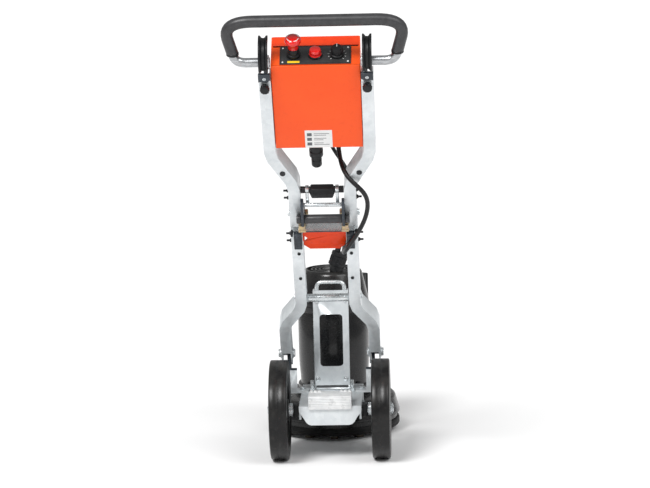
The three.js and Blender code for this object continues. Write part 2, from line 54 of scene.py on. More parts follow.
# Pieces are drawn in millimetres, in the floor frame or in the handle's own leaning frame.
millimetres = Matrix.Scale(0.001, 4)
tiltPoint = Vector(joints["handle_tilt"]["pos_m"])
tiltPivot = {"y": 130, "z": 245}
handleLean = radians(37.5)
barLean = radians(-15.8)
barHeight = 1002.5
floorFrame = Matrix.Translation((0, tiltPoint.y - tiltPivot["y"] / 1000, 0)) @ millimetres
handleFrame = Matrix.Translation(tiltPoint) @ Matrix.Rotation(handleLean, 4, "X") @ millimetres
barFrame = handleFrame @ Matrix.Translation((0, 0, barHeight)) @ Matrix.Rotation(barLean, 4, "X")
headFrame = floorFrame @ Matrix.Translation((0, 350, 0))
sides = (("left", -1), ("right", 1))

# A shape is drawn along its own w axis; these turn w to the wanted axis.
axisTurn = {
    "X": Matrix(((0, 0, 1, 0), (1, 0, 0, 0), (0, 1, 0, 0), (0, 0, 0, 1))),
    "Y": Matrix(((1, 0, 0, 0), (0, 0, 1, 0), (0, 1, 0, 0), (0, 0, 0, 1))),
    "Z": Matrix.Identity(4),
}


def axisPlace(axis, a, b):
    centre = {"X": (0, a, b), "Y": (a, 0, b), "Z": (a, b, 0)}[axis]
    return Matrix.Translation(centre) @ axisTurn[axis]


def softenEdges(bm, width, segments=3, angle=30):
    sharp = [edge for edge in bm.edges if edge.is_manifold and edge.calc_face_angle(0) > radians(angle)]
    bmesh.ops.bevel(bm, geom=sharp, offset=width, offset_type="OFFSET", segments=segments,
                    profile=0.5, affect="EDGES", clamp_overlap=True, material=-1)
    return bm


def moved(bm, matrix):
    bmesh.ops.transform(bm, matrix=matrix, verts=bm.verts)
    bmesh.ops.recalc_face_normals(bm, faces=bm.faces)
    return bm


def painted(bm, index):
    for face in bm.faces:
        face.material_index = index
    return bm


def joined(*parts):
    whole = parts[0]
    for part in parts[1:]:
        mesh = bpy.data.meshes.new("part")
        part.to_mesh(mesh)
        part.free()
        whole.from_mesh(mesh)
        bpy.data.meshes.remove(mesh)
    return whole


def block(x0, x1, y0, y1, z0, z1, edge=0.8, segments=3):
    bm = bmesh.new()
    bmesh.ops.create_cube(bm, size=1)
    bmesh.ops.scale(bm, vec=(x1 - x0, y1 - y0, z1 - z0), verts=bm.verts)
    bmesh.ops.translate(bm, vec=((x0 + x1) / 2, (y0 + y1) / 2, (z0 + z1) / 2), verts=bm.verts)
    return softenEdges(bm, edge, segments) if edge else bm


def rod(axis, radius, low, high, a=0, b=0, sides=40, edge=0.6, tip=None):
    bm = bmesh.new()
    bmesh.ops.create_cone(bm, cap_ends=True, segments=sides, radius1=radius,
                          radius2=radius if tip is None else tip, depth=high - low)
    bmesh.ops.translate(bm, vec=(0, 0, (low + high) / 2), verts=bm.verts)
    if edge:
        softenEdges(bm, edge, 2, 40)
    return moved(bm, axisPlace(axis, a, b))


def turned(profile, axis="Z", a=0, b=0, steps=96, closed=None):
    bm = bmesh.new()
    verts = [bm.verts.new((radius, 0, along)) for radius, along in profile]
    edges = [bm.edges.new(pair) for pair in zip(verts, verts[1:])]
    if profile[0][0] > 0 and profile[-1][0] > 0:
        edges.append(bm.edges.new((verts[-1], verts[0])))
    bmesh.ops.spin(bm, geom=verts + edges, cent=(0, 0, 0), axis=(0, 0, 1), angle=2 * pi,
                   steps=steps, use_merge=True, use_duplicate=False)
    bmesh.ops.remove_doubles(bm, verts=bm.verts, dist=0.001)
    return moved(bm, axisPlace(axis, a, b))


def plate(axis, outline, low, high, edge=0.5, segments=2):
    bm = bmesh.new()
    face = bm.faces.new([bm.verts.new((u, v, low)) for u, v in outline])
    grown = bmesh.ops.extrude_face_region(bm, geom=[face])["geom"]
    top = [item for item in grown if isinstance(item, bmesh.types.BMVert)]
    bmesh.ops.translate(bm, vec=(0, 0, high - low), verts=top)
    bmesh.ops.recalc_face_normals(bm, faces=bm.faces)
    if edge:
        softenEdges(bm, edge, segments)
    return moved(bm, axisTurn[axis])


def ringOf(count, part, start=0):
    # The same part repeated round the w axis
    whole = bmesh.new()
    mesh = bpy.data.meshes.new("part")
    part.to_mesh(mesh)
    part.free()
    for step in range(count):
        before = len(whole.verts)
        whole.from_mesh(mesh)
        whole.verts.ensure_lookup_table()
        turn = Matrix.Rotation(start + step * 2 * pi / count, 4, "Z")
        bmesh.ops.transform(whole, matrix=turn, verts=whole.verts[before:])
    bpy.data.meshes.remove(mesh)
    return whole


def hexBolt(axis, size, foot, tip, a=0, b=0, washer=1.2):
    # A washer, a hexagon head standing on it and a low round crown
    way = 1 if tip > foot else -1
    low, high = sorted((foot + way * washer, tip - way * 0.3))
    disc = sorted((foot, foot + way * washer))
    return joined(
        rod(axis, size * 1.25, disc[0], disc[1], a, b, 32, 0.3),
        rod(axis, size, low, high, a, b, 6, 0.7),
        rod(axis, size * 0.78, min(high, tip), max(high, tip) + 0.01, a, b, 24, 0.12),
    )


def socketScrew(axis, size, foot, tip, a=0, b=0):
    way = 1 if tip > foot else -1
    profile = [(0, tip - way * size * 0.5), (size * 0.5, tip - way * size * 0.5), (size * 0.5, tip),
               (size * 0.85, tip), (size, tip - way * 0.5), (size, foot), (0, foot)]
    return turned(profile, axis, a, b, 32)


def tube(points, radius, rings=8):
    curve = bpy.data.curves.new("route", "CURVE")
    curve.dimensions = "3D"
    curve.bevel_depth = radius
    curve.bevel_resolution = rings
    curve.use_fill_caps = True
    spline = curve.splines.new("POLY")
    spline.points.add(len(points) - 1)
    for place, point in zip(spline.points, points):
        place.co = (*point, 1)
    carrier = bpy.data.objects.new("route", curve)
    mesh = bpy.data.meshes.new_from_object(carrier)
    bm = bmesh.new()
    bm.from_mesh(mesh)
    bmesh.ops.remove_doubles(bm, verts=bm.verts, dist=0.0001)
    bpy.data.objects.remove(carrier)
    bpy.data.curves.remove(curve)
    bpy.data.meshes.remove(mesh)
    return bm


def rounded(corners, radius, steps=8):
    # The corners of a bent tube's centre line, each rounded off
    points = [Vector(corners[0])]
    for before, corner, after in zip(corners, corners[1:], corners[2:]):
        before, corner, after = Vector(before), Vector(corner), Vector(after)
        reach = min(radius, (before - corner).length / 2.05, (after - corner).length / 2.05)
        first = corner + (before - corner).normalized() * reach
        last = corner + (after - corner).normalized() * reach
        for step in range(steps + 1):
            t = step / steps
            points.append(first * (1 - t) ** 2 + corner * 2 * t * (1 - t) + last * t * t)
    points.append(Vector(corners[-1]))
    return points


def fromNode(name, edge=1.0, segments=3, angle=30):
    # A merged copy of a CAD node, in millimetres, with its edges rounded
    bm = bmesh.new()
    bm.from_mesh(cadNodes[name].data)
    bmesh.ops.scale(bm, vec=(1000, 1000, 1000), verts=bm.verts)
    bmesh.ops.remove_doubles(bm, verts=bm.verts, dist=0.003)
    bmesh.ops.dissolve_limit(bm, angle_limit=radians(1), verts=bm.verts, edges=bm.edges)
    return softenEdges(bm, edge, segments, angle) if edge else bm


def addPiece(name, bm, place, body, finishes, replaced=(), smooth=35):
    bmesh.ops.transform(bm, matrix=place, verts=bm.verts)
    bmesh.ops.recalc_face_normals(bm, faces=bm.faces)
    mesh = bpy.data.meshes.new(name)
    bm.to_mesh(mesh)
    bm.free()
    for polygon in mesh.polygons:
        polygon.use_smooth = True
    mesh.set_sharp_from_angle(angle=radians(smooth))
    for material in finishes if isinstance(finishes, (list, tuple)) else [finishes]:
        mesh.materials.append(material)
    piece = bpy.data.objects.new(name, mesh)
    collection.objects.link(piece)
    if body:
        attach(piece, body)
    if replaced:
        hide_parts(*replaced)
    return piece


# Finishes


def srgb(red, green, blue):
    return tuple(((c / 255 + 0.055) / 1.055) ** 2.4 if c > 10 else c / 3294.6 for c in (red, green, blue)) + (1,)


def newFinish(name, look):
    material = bpy.data.materials.new(name)
    material.use_nodes = True
    nodes, link = material.node_tree.nodes, material.node_tree.links.new
    shader = nodes["Principled BSDF"]
    shader.inputs["Metallic"].default_value = look.get("metal", 0)
    shader.inputs["Coat Weight"].default_value = look.get("coat", 0)
    shader.inputs["Coat Roughness"].default_value = look.get("coatRoughness", 0.1)
    shader.inputs["Specular IOR Level"].default_value = look.get("specular", 0.5)
    shader.inputs["Sheen Weight"].default_value = look.get("sheen", 0)
    place = nodes.new("ShaderNodeTexCoord")
    mapping = nodes.new("ShaderNodeMapping")
    mapping.inputs["Scale"].default_value = look.get("stretch", (1, 1, 1))
    link(place.outputs["Object"], mapping.inputs["Vector"])

    def noise(scale, detail=4, vector=mapping.outputs["Vector"]):
        node = nodes.new("ShaderNodeTexNoise")
        node.inputs["Scale"].default_value = scale
        node.inputs["Detail"].default_value = detail
        link(vector, node.inputs["Vector"])
        return node.outputs["Fac"]

    def ranged(value, low, high, start=0.3, end=0.7):
        node = nodes.new("ShaderNodeMapRange")
        node.inputs["From Min"].default_value = start
        node.inputs["From Max"].default_value = end
        node.inputs["To Min"].default_value = low
        node.inputs["To Max"].default_value = high
        link(value, node.inputs["Value"])
        return node.outputs["Result"]

    def mixed(kind, factor, first, second):
        node = nodes.new("ShaderNodeMix")
        node.data_type = "RGBA"
        node.blend_type = kind
        for socket, value in ((node.inputs["Factor"], factor), (node.inputs["A"], first), (node.inputs["B"], second)):
            if hasattr(value, "default_value"):
                link(value, socket)
            else:
                socket.default_value = value
        return node.outputs["Result"]

    ramp = nodes.new("ShaderNodeValToRGB")
    ramp.color_ramp.elements[0].position = 0.32
    ramp.color_ramp.elements[1].position = 0.68
    ramp.color_ramp.elements[0].color = srgb(*look["shade"])
    ramp.color_ramp.elements[1].color = srgb(*look["colour"])
    link(noise(look.get("patch", 22)), ramp.inputs["Fac"])
    colour = ramp.outputs["Color"]
    roughness = ranged(noise(look.get("grain", 300), 6), *look["roughness"])
    if "spangle" in look:
        # zinc crystals: each cell has its own grey and its own gloss
        crystals = nodes.new("ShaderNodeTexVoronoi")
        crystals.inputs["Scale"].default_value = look["spangle"]
        link(place.outputs["Object"], crystals.inputs["Vector"])
        cell = nodes.new("ShaderNodeSeparateColor")
        link(crystals.outputs["Color"], cell.inputs["Color"])
        colour = mixed("MULTIPLY", ranged(cell.outputs["Red"], 0.02, 0.22, 0, 1), colour, srgb(196, 202, 208))
        roughness = ranged(cell.outputs["Green"], *look["roughness"], 0, 1)
    if "fleck" in look:
        colour = mixed("MIX", ranged(noise(look.get("fleckScale", 140), 8), 0, 0.75, 0.56, 0.74),
                       colour, srgb(*look["fleck"]))
    if "scratch" in look:
        stretched = nodes.new("ShaderNodeMapping")
        stretched.inputs["Scale"].default_value = (6, 60, 14)
        stretched.inputs["Rotation"].default_value = (0.4, 0.7, 0.2)
        link(place.outputs["Object"], stretched.inputs["Vector"])
        lines = ranged(noise(9, 10, stretched.outputs["Vector"]), 0, 0.8, 0.62, 0.7)
        colour = mixed("MIX", lines, colour, srgb(*look["scratch"]))
    if "dust" in look:
        # pale concrete dust lies thicker on faces that look up
        facing = nodes.new("ShaderNodeSeparateXYZ")
        link(place.outputs["Normal"], facing.inputs["Vector"])
        upward = ranged(facing.outputs["Z"], 0.15, 1, -0.3, 1)
        lying = nodes.new("ShaderNodeMath")
        lying.operation = "MULTIPLY"
        link(upward, lying.inputs[0])
        link(ranged(noise(26, 9), 0, look["dust"], 0.4, 0.75), lying.inputs[1])
        colour = mixed("MIX", lying.outputs["Value"], colour, srgb(186, 182, 174))
    link(colour, shader.inputs["Base Color"])
    link(roughness, shader.inputs["Roughness"])
    bump = nodes.new("ShaderNodeBump")
    bump.inputs["Strength"].default_value = look.get("bump", 0.15)
    bump.inputs["Distance"].default_value = look.get("depth", 0.0003)
    height = noise(look.get("bumpScale", 900), 5)
    if "pores" in look:
        pores = nodes.new("ShaderNodeTexVoronoi")
        pores.inputs["Scale"].default_value = look["pores"]
        link(place.outputs["Object"], pores.inputs["Vector"])
        height = pores.outputs["Distance"]
    link(height, bump.inputs["Height"])
    link(bump.outputs["Normal"], shader.inputs["Normal"])
    return material


galvanised = newFinish("galvanised", {
    "colour": (232, 236, 238), "shade": (214, 219, 221), "metal": 0.55, "roughness": (0.32, 0.46),
    "spangle": 95, "patch": 14, "bump": 0.08, "bumpScale": 420, "dust": 0.1})
brightZinc = newFinish("brightZinc", {
    "colour": (226, 230, 231), "shade": (196, 202, 205), "metal": 0.85, "roughness": (0.2, 0.36),
    "patch": 40, "bump": 0.06, "bumpScale": 700, "fleck": (172, 176, 178), "fleckScale": 60})
castAlloy = newFinish("castAlloy", {
    "colour": (232, 233, 233), "shade": (206, 208, 209), "metal": 0.35, "roughness": (0.45, 0.62),
    "patch": 30, "bump": 0.35, "bumpScale": 520, "fleck": (180, 182, 183), "fleckScale": 90, "dust": 0.25})
# A dark slate coat for dark parts; on the side brackets' tops it is painted shade.
darkCoatAndPaintedShade = newFinish("darkCoatAndPaintedShade", {
    "colour": (60, 66, 73), "shade": (44, 49, 55), "metal": 0.3, "roughness": (0.3, 0.46),
    "patch": 35, "bump": 0.2, "bumpScale": 800, "fleck": (84, 90, 97), "fleckScale": 160})
glossBlack = newFinish("glossBlack", {
    "colour": (11, 12, 14), "shade": (6, 7, 9), "roughness": (0.2, 0.32), "coat": 0.2, "specular": 0.3,
    "patch": 18, "bump": 0.1, "bumpScale": 240, "dust": 0.05, "scratch": (30, 31, 33)})
blackPlastic = newFinish("blackPlastic", {
    "colour": (24, 25, 27), "shade": (16, 17, 19), "roughness": (0.34, 0.48), "specular": 0.3,
    "patch": 30, "bump": 0.3, "bumpScale": 1100, "fleck": (34, 35, 38), "fleckScale": 210})
tyreRubber = newFinish("tyreRubber", {
    "colour": (14, 14, 15), "shade": (8, 8, 9), "roughness": (0.26, 0.36), "specular": 0.3,
    "patch": 24, "bump": 0.2, "bumpScale": 460, "fleck": (36, 35, 34), "fleckScale": 70, "dust": 0.06})
skirtRubber = newFinish("skirtRubber", {
    "colour": (14, 14, 15), "shade": (9, 9, 10), "roughness": (0.45, 0.6), "specular": 0.2,
    "patch": 30, "bump": 0.3, "bumpScale": 620, "fleck": (28, 27, 26), "fleckScale": 55, "dust": 0.05})
leadRubber = newFinish("leadRubber", {
    "colour": (20, 20, 22), "shade": (14, 14, 16), "roughness": (0.34, 0.46), "specular": 0.35,
    "patch": 60, "bump": 0.2, "bumpScale": 1300, "fleck": (40, 40, 42), "fleckScale": 120})
foamGrip = newFinish("foamGrip", {
    "colour": (58, 58, 60), "shade": (46, 46, 48), "roughness": (0.32, 0.42),
    "patch": 70, "bump": 0.12, "pores": 1400, "depth": 0.0003, "fleck": (68, 68, 70), "fleckScale": 260})
orangeCoat = newFinish("orangeCoat", {
    "colour": (253, 88, 18), "shade": (250, 83, 14), "roughness": (0.36, 0.46), "specular": 0.35,
    "patch": 12, "bump": 0.16, "bumpScale": 950, "fleck": (244, 79, 12), "fleckScale": 110})
orangeDeep = newFinish("orangeDeep", {
    "colour": (234, 66, 10), "shade": (222, 57, 7), "roughness": (0.36, 0.48), "specular": 0.35,
    "patch": 20, "bump": 0.16, "bumpScale": 950, "fleck": (206, 50, 7), "fleckScale": 110})
panelGrey = newFinish("panelGrey", {
    "colour": (44, 45, 46), "shade": (34, 35, 36), "roughness": (0.4, 0.55),
    "patch": 40, "bump": 0.25, "bumpScale": 1400, "fleck": (54, 55, 57), "fleckScale": 240})
redPlastic = newFinish("redPlastic", {
    "colour": (226, 28, 20), "shade": (206, 18, 14), "roughness": (0.16, 0.28), "coat": 0.5,
    "patch": 60, "bump": 0.08, "bumpScale": 900, "fleck": (190, 16, 12), "fleckScale": 160})
yellowPlastic = newFinish("yellowPlastic", {
    "colour": (244, 206, 44), "shade": (232, 190, 30), "roughness": (0.3, 0.42),
    "patch": 60, "bump": 0.1, "bumpScale": 900, "fleck": (222, 178, 26), "fleckScale": 160})
goldZinc = newFinish("goldZinc", {
    "colour": (206, 184, 138), "shade": (168, 150, 128), "metal": 0.85, "roughness": (0.24, 0.4),
    "patch": 90, "bump": 0.08, "bumpScale": 700, "fleck": (188, 150, 170), "fleckScale": 100})
darkBolt = newFinish("darkBolt", {
    "colour": (48, 49, 52), "shade": (30, 31, 33), "metal": 0.6, "roughness": (0.3, 0.46),
    "patch": 90, "bump": 0.15, "bumpScale": 900, "fleck": (76, 76, 78), "fleckScale": 180})
machinedSteel = newFinish("machinedSteel", {
    "colour": (196, 198, 200), "shade": (160, 163, 166), "metal": 0.95, "roughness": (0.22, 0.4),
    "patch": 50, "bump": 0.15, "bumpScale": 300, "stretch": (1, 1, 9), "fleck": (130, 126, 120),
    "fleckScale": 60})
copperWire = newFinish("copperWire", {
    "colour": (190, 110, 66), "shade": (150, 82, 48), "metal": 0.8, "roughness": (0.3, 0.5),
    "patch": 80, "bump": 0.4, "bumpScale": 260, "stretch": (1, 1, 12), "fleck": (110, 60, 36)})
# Segment colour: the segments' own grey-brown, darkened further as painted shade for the shadow under the hood; the
# pale flecks and dust are their own.
grindSegment = newFinish("grindSegment", {
    "colour": (92, 84, 70), "shade": (66, 60, 50), "metal": 0.5, "roughness": (0.5, 0.8),
    "patch": 120, "bump": 0.7, "bumpScale": 700, "fleck": (150, 144, 126), "fleckScale": 420, "dust": 0.2})
paleLabel = newFinish("paleLabel", {
    "colour": (236, 236, 235), "shade": (226, 227, 227), "roughness": (0.3, 0.42),
    "patch": 30, "bump": 0.05, "bumpScale": 500, "fleck": (214, 215, 216), "fleckScale": 90})
greyInk = newFinish("greyInk", {
    "colour": (96, 99, 104), "shade": (80, 83, 88), "roughness": (0.4, 0.5),
    "patch": 60, "bump": 0.05, "fleck": (120, 122, 126), "fleckScale": 160})
whiteInk = newFinish("whiteInk", {
    "colour": (230, 230, 228), "shade": (214, 214, 212), "roughness": (0.4, 0.5),
    "patch": 60, "bump": 0.05, "fleck": (196, 196, 194), "fleckScale": 160})
print("finishes made")

# Camera, floor and soft studio light

view = {"lens": 158.09, "x": 0.251, "y": -6.999, "z": 1.61, "pitch": 8.65, "yaw": 2.09, "roll": -1.29}
cameraData = bpy.data.cameras.new("camera")
cameraData.lens = view["lens"]
cameraData.sensor_width = 36
cameraData.clip_end = 60
camera = bpy.data.objects.new("camera", cameraData)
camera.matrix_world = (
    Matrix.Translation((view["x"], view["y"], view["z"]))
    @ Matrix.Rotation(radians(view["yaw"]), 4, "Z")
    @ Matrix.Rotation(radians(90 - view["pitch"]), 4, "X")
    @ Matrix.Rotation(radians(view["roll"]), 4, "Z")
)
collection.objects.link(camera)
bpy.context.scene.camera = camera
bpy.context.scene.view_settings.view_transform = "Standard"

world = bpy.data.worlds.new("studio")
world.use_nodes = True
world.node_tree.nodes["Background"].inputs["Color"].default_value = (1, 1, 1, 1)
world.node_tree.nodes["Background"].inputs["Strength"].default_value = 0.42
bpy.context.scene.world = world


def sunlight(name, turn, elevation, strength, softness):
    data = bpy.data.lights.new(name, "SUN")
    data.energy = strength
    data.angle = radians(softness)
    lamp = bpy.data.objects.new(name, data)
    lamp.rotation_euler = (radians(90 - elevation), 0, radians(turn))
    collection.objects.link(lamp)


sunlight("keyLight", -28, 46, 2.4, 22)
sunlight("fillLight", 42, 40, 1.1, 34)


floorLook = newFinish("studioFloor", {
    "colour": (250, 250, 250), "shade": (248, 248, 248), "roughness": (0.85, 0.95), "patch": 1,
    "bump": 0.0, "specular": 0.1})
floorMesh = bmesh.new()
bmesh.ops.create_grid(floorMesh, x_segments=2, y_segments=2, size=24)
floor = addPiece("floor", floorMesh, Matrix.Translation((0, 8, -0.0002)), None, floorLook)

# Wheels: solid rubber tyres on ribbed black rims

wheel = {"offset": 127, "height": 125, "ribs": 10, "bolts": 5}


def tyre():
    half = [(84.4, 0), (84.4, 17), (88, 20.4), (94, 22.4), (99, 23.2), (104, 23.2), (105.2, 22.6), (106.4, 23.2),
            (114, 23.2), (119, 22.9), (122.2, 22.2), (124.2, 21), (125, 19.4), (125, 1), (124.6, 0.4), (124.6, 0)]
    profile = [(r, -w) for r, w in half] + [(r, w) for r, w in reversed(half)]
    return turned(profile[1:-1], "X", 0, wheel["height"], 128)


def rim():
    half = [(84, 15.4), (83, 16), (80.6, 16), (79, 14.6), (76.4, 7.4), (74, 6), (58, 6), (44, 6.6), (30, 8.4),
            (27, 10.4), (27, 20.6), (25.6, 22), (14, 22), (13, 21), (10.4, 21)]
    profile = [(r, -w) for r, w in half] + [(r, w) for r, w in reversed(half)]
    profile = [(84, -15.4)] + profile[1:-1] + [(84, 15.4)]
    body = turned(profile, "Z", 0, 0, 96)
    rib = joined(block(26, 78, -2, 2, 5, 13, 0.8, 2), block(26, 78, -2, 2, -13, -5, 0.8, 2))
    ribs = ringOf(wheel["ribs"], rib)
    screws = ringOf(wheel["bolts"], joined(
        hexBolt("Z", 4, 6.2, 11, 50, 0), hexBolt("Z", 4, -6.2, -11, 50, 0)), pi / wheel["ribs"])
    return moved(joined(painted(body, 0), painted(ribs, 0), painted(screws, 1)), axisPlace("X", 0, wheel["height"]))


for side, sign in sides:
    place = floorFrame @ Matrix.Translation((sign * wheel["offset"], 0, 0))
    addPiece(f"tyre_{side}_looks", tyre(), place, f"wheel_{side}", tyreRubber, [f"tyre_{side}"])
    addPiece(f"rim_{side}_looks", rim(), place, f"wheel_{side}",
             [blackPlastic, brightZinc], [f"rim_{side}"])

axle = {"end": 158, "outer": 149.4, "inner": 104.6}
half = [(0, axle["end"]), (8.6, axle["end"]), (10, axle["end"] - 1.4), (10, axle["outer"] + 3.2),
        (16, axle["outer"] + 2.8), (16, axle["outer"] + 0.2), (15.4, axle["outer"]), (10, axle["outer"]),
        (10, axle["inner"]), (15.4, axle["inner"]), (16, axle["inner"] - 0.6), (16, axle["inner"] - 9.4),
        (15.4, axle["inner"] - 10), (10, axle["inner"] - 10)]
axleBody = turned([(r, -w) for r, w in half] + [(r, w) for r, w in reversed(half)], "X", 0, wheel["height"], 64)
splitPins = [rod("Z", 1.3, wheel["height"] - 13, wheel["height"] + 13, sign * 155, 0, 12, 0.3) for _, sign in sides]
addPiece("axle_looks", joined(axleBody, *splitPins), floorFrame, "chassis", brightZinc, ["axle"])
print("wheels made")

# Deck, brackets and foot step

addPiece("base_plate_looks", fromNode("base_plate", 1.2), Matrix.Scale(0.001, 4), "chassis",
         galvanised, ["base_plate"])
for side, sign in sides:
    cheek = fromNode(f"side_bracket_{side}", 0)
    bmesh.ops.bisect_plane(cheek, geom=[*cheek.verts, *cheek.edges, *cheek.faces], plane_co=(0, 0, 200),
                           plane_no=(0, 0, 1))
    softenEdges(cheek, 1.2)
    for face in cheek.faces:
        # Painted shade: faces above z 200 take the dark slate coat, which stands for the shadow on the bracket's top
        # under the frame member's end.
        face.material_index = int(face.calc_center_median().z > 200)
    addPiece(f"side_bracket_{side}_looks", cheek, Matrix.Scale(0.001, 4), "chassis",
             [galvanised, darkCoatAndPaintedShade], [f"side_bracket_{side}"])
    pivot = {"radius": 6, "head": 11, "inner": 91, "outer": 134}
    shank = rod("X", pivot["radius"], pivot["inner"] + 1, pivot["outer"] - 1, 130, 245)
    heads = joined(hexBolt("X", 10.6, 97.4, 91.2, 130, 245, 1.8), hexBolt("X", 10.6, 126.6, 134, 130, 245, 1.8))
    both = joined(painted(shank, 0), painted(heads, 0))
    addPiece(f"pivot_bolt_{side}_looks", both, floorFrame @ Matrix.Scale(sign, 4, (1, 0, 0)), "chassis",
             brightZinc, [f"pivot_bolt_{side}"])

step = {"half": 52.6, "back": -46, "low": 140.4, "ribs": 6}
stepRibs = [rod("X", 1.1, -step["half"], step["half"], step["back"] + 0.2, step["low"] + 4 + 4 * i, 16, 0.4)
            for i in range(step["ribs"])]
addPiece("foot_step_looks", fromNode("foot_step", 1.4), millimetres, "chassis", castAlloy,
         ["foot_step"])
addPiece("foot_step_ribs", joined(*stepRibs), floorFrame, "chassis", castAlloy)

addPiece("centre_plate_looks", fromNode("centre_plate", 0.9), millimetres, "chassis", galvanised,
         ["centre_plate"])
loopRoute = rounded([(-35, 178, 350), (-35, 178, 418), (35, 178, 418), (35, 178, 350)], 15)
loopFeet = [block(x - 8, x + 8, 172, 175.4, 346, 372, 0.8) for x in (-35, 35)]
addPiece("carry_loop_looks", joined(tube(loopRoute, 5), *loopFeet), floorFrame, "chassis",
         brightZinc, ["carry_loop"])

fixings = []
for x in (-51, 51):
    fixings += [rod("Z", 4, 140.4, 168, x, 156, 24), hexBolt("Z", 7, 140.4, 148, x, 156)]
for sign in (-1, 1):
    for y, z in ((152, 146),):
        fixings.append(hexBolt("Z", 7, z, z + 6, sign * 76, y))
    for z in (160, 176):
        fixings.append(hexBolt("X", 4.5, sign * 111, sign * 114.5, 148, z))
    for y in (60, 100):
        fixings.append(hexBolt("X", 6, sign * 78, sign * 83, y, 120))
for x in (-36, 36):
    for z in (168, 372):
        fixings.append(hexBolt("Y", 5, 168, 164, x, z))
addPiece("deck_fixings", joined(*fixings), floorFrame, "chassis", brightZinc)
blocks = joined(*[block(sign * 86 - 7, sign * 86 + 7, -16, 16, 108, 139, 1.6) for sign in (-1, 1)])
addPiece("axle_blocks", blocks, floorFrame, "chassis", blackPlastic)
print("deck made")

# Grinding head: hood, floating skirt, disc with segments, motor

hoodProfile = [(163, 16), (163, 45), (164.4, 46.4), (168, 46.8), (169, 47.8), (169, 53), (168.4, 54.6), (159.4, 87),
               (157.6, 91.6), (152, 96.8), (149, 98), (24.6, 98), (24, 97.4), (24, 92), (146, 92), (152, 88),
               (157, 51), (158, 49), (158, 16)]
hood = {"bolts": 8, "boltCircle": 128}
hoodBody = turned(hoodProfile, steps=144)
hoodBolts = ringOf(hood["bolts"], hexBolt("Z", 6, 98, 103.6, hood["boltCircle"], 0), pi / 8)
weld = turned([(104.6, 98), (107.4, 98), (106.4, 100.4), (104.8, 101)], steps=120)
addPiece("grinding_hood_looks", joined(painted(hoodBody, 0), painted(weld, 0), painted(hoodBolts, 1)), headFrame,
         "chassis", [glossBlack, brightZinc], ["grinding_hood"])
skirtProfile = [(163.6, 14.4), (164, 14), (166, 14), (168, 16.4), (168.5, 18), (168.5, 21), (167.9, 21.8), (167.9, 24),
                (168.5, 24.8), (168.5, 28), (167, 32), (166, 33), (164, 33), (163.6, 32.6)]
addPiece("hood_skirt_looks", turned(skirtProfile, steps=144), headFrame, "skirt", skirtRubber,
         ["hood_skirt"])
discProfile = [(16, 12.8), (16.4, 12.4), (137, 12.4), (138, 13.4), (138, 19.2), (137, 20.2), (60, 24), (36, 39),
               (33, 40), (16.4, 40), (16, 39.6)]
discScrews = ringOf(4, socketScrew("Z", 5, 21.4, 24.6, 84, 0))
addPiece("grinding_disc_looks", joined(turned(discProfile, steps=128), discScrews), headFrame, "spindle",
         machinedSteel, ["grinding_disc"])
carrier = turned([(96, 7.4), (96.4, 7), (136.6, 7), (137, 7.4), (137, 11.6), (136.6, 12), (96.4, 12), (96, 11.6)], steps=128)
tooth = joined(*[block(100 + 12.6 * i, 111 + 12.6 * i, -9, 9, 0, 8, 1.2, 2) for i in range(3)])
addPiece("segment_ring_looks", joined(painted(carrier, 0), painted(ringOf(12, tooth), 1)), headFrame, "spindle",
         [machinedSteel, grindSegment], ["segment_ring"])

flangeProfile = [(20, 98.4), (103, 98.4), (104, 99.4), (104, 111), (103, 112), (40.6, 112), (40, 112.6), (40, 127.4),
                 (39.4, 128), (31, 128), (30.5, 127.4), (30.5, 113), (20, 113)]
addPiece("motor_flange_looks", turned(flangeProfile, steps=112), headFrame, "chassis", glossBlack,
         ["motor_flange"])
housingProfile = [(86, 112.4), (94, 112.4), (95, 113.4), (95, 125), (94, 126.4), (88.6, 128), (88, 131), (89, 150),
                  (91, 172), (92, 200), (92, 317), (91, 318.6), (91, 320.4), (92, 322), (92, 324), (94.4, 325),
                  (95, 326), (95, 334.6), (93.6, 336), (20.6, 336), (20, 335.4), (20, 330.4), (86, 330.4)]
lugs = ringOf(4, block(86, 96.6, -11, 11, 112.4, 130, 1.6), pi / 4)
addPiece("motor_housing_looks", joined(turned(housingProfile, steps=144), lugs), headFrame, "chassis",
         glossBlack, ["motor_housing"])
addPiece("flange_bolts", ringOf(4, hexBolt("Z", 5.5, 130, 136, 91.6, 0), pi / 4), headFrame, "chassis",
         darkBolt)
coverProfile = [(90, 336.4), (94, 336.4), (94, 340), (92.4, 352), (77.6, 416), (76, 419.6), (71.4, 425.2), (69, 426),
                (66, 426), (66, 423), (68, 423), (73, 417), (89, 352)]
cover = {"rings": (14, 24, 34, 44, 54), "spokes": 8}
grille = [turned([(r - 1.4, 422.6), (r + 1.4, 422.6), (r + 1.8, 423.4), (r + 1.8, 425), (r + 1.2, 425.8),
                  (r - 1.2, 425.8), (r - 1.8, 425), (r - 1.8, 423.4)], steps=72) for r in cover["rings"]]
spokes = ringOf(cover["spokes"], block(4, 67, -1.4, 1.4, 422.8, 425, 0.5, 2))
addPiece("fan_cover_looks", joined(turned(coverProfile, steps=128), *grille, spokes, rod("Z", 20, 422.6, 426, 0, 0)),
         headFrame, "chassis", glossBlack, ["fan_cover"], 40)
coverScrews = ringOf(4, socketScrew("X", 3.6, 93.2, 95.6, 0, 344), pi / 8)
addPiece("fan_cover_screws", coverScrews, headFrame, "chassis", darkBolt)

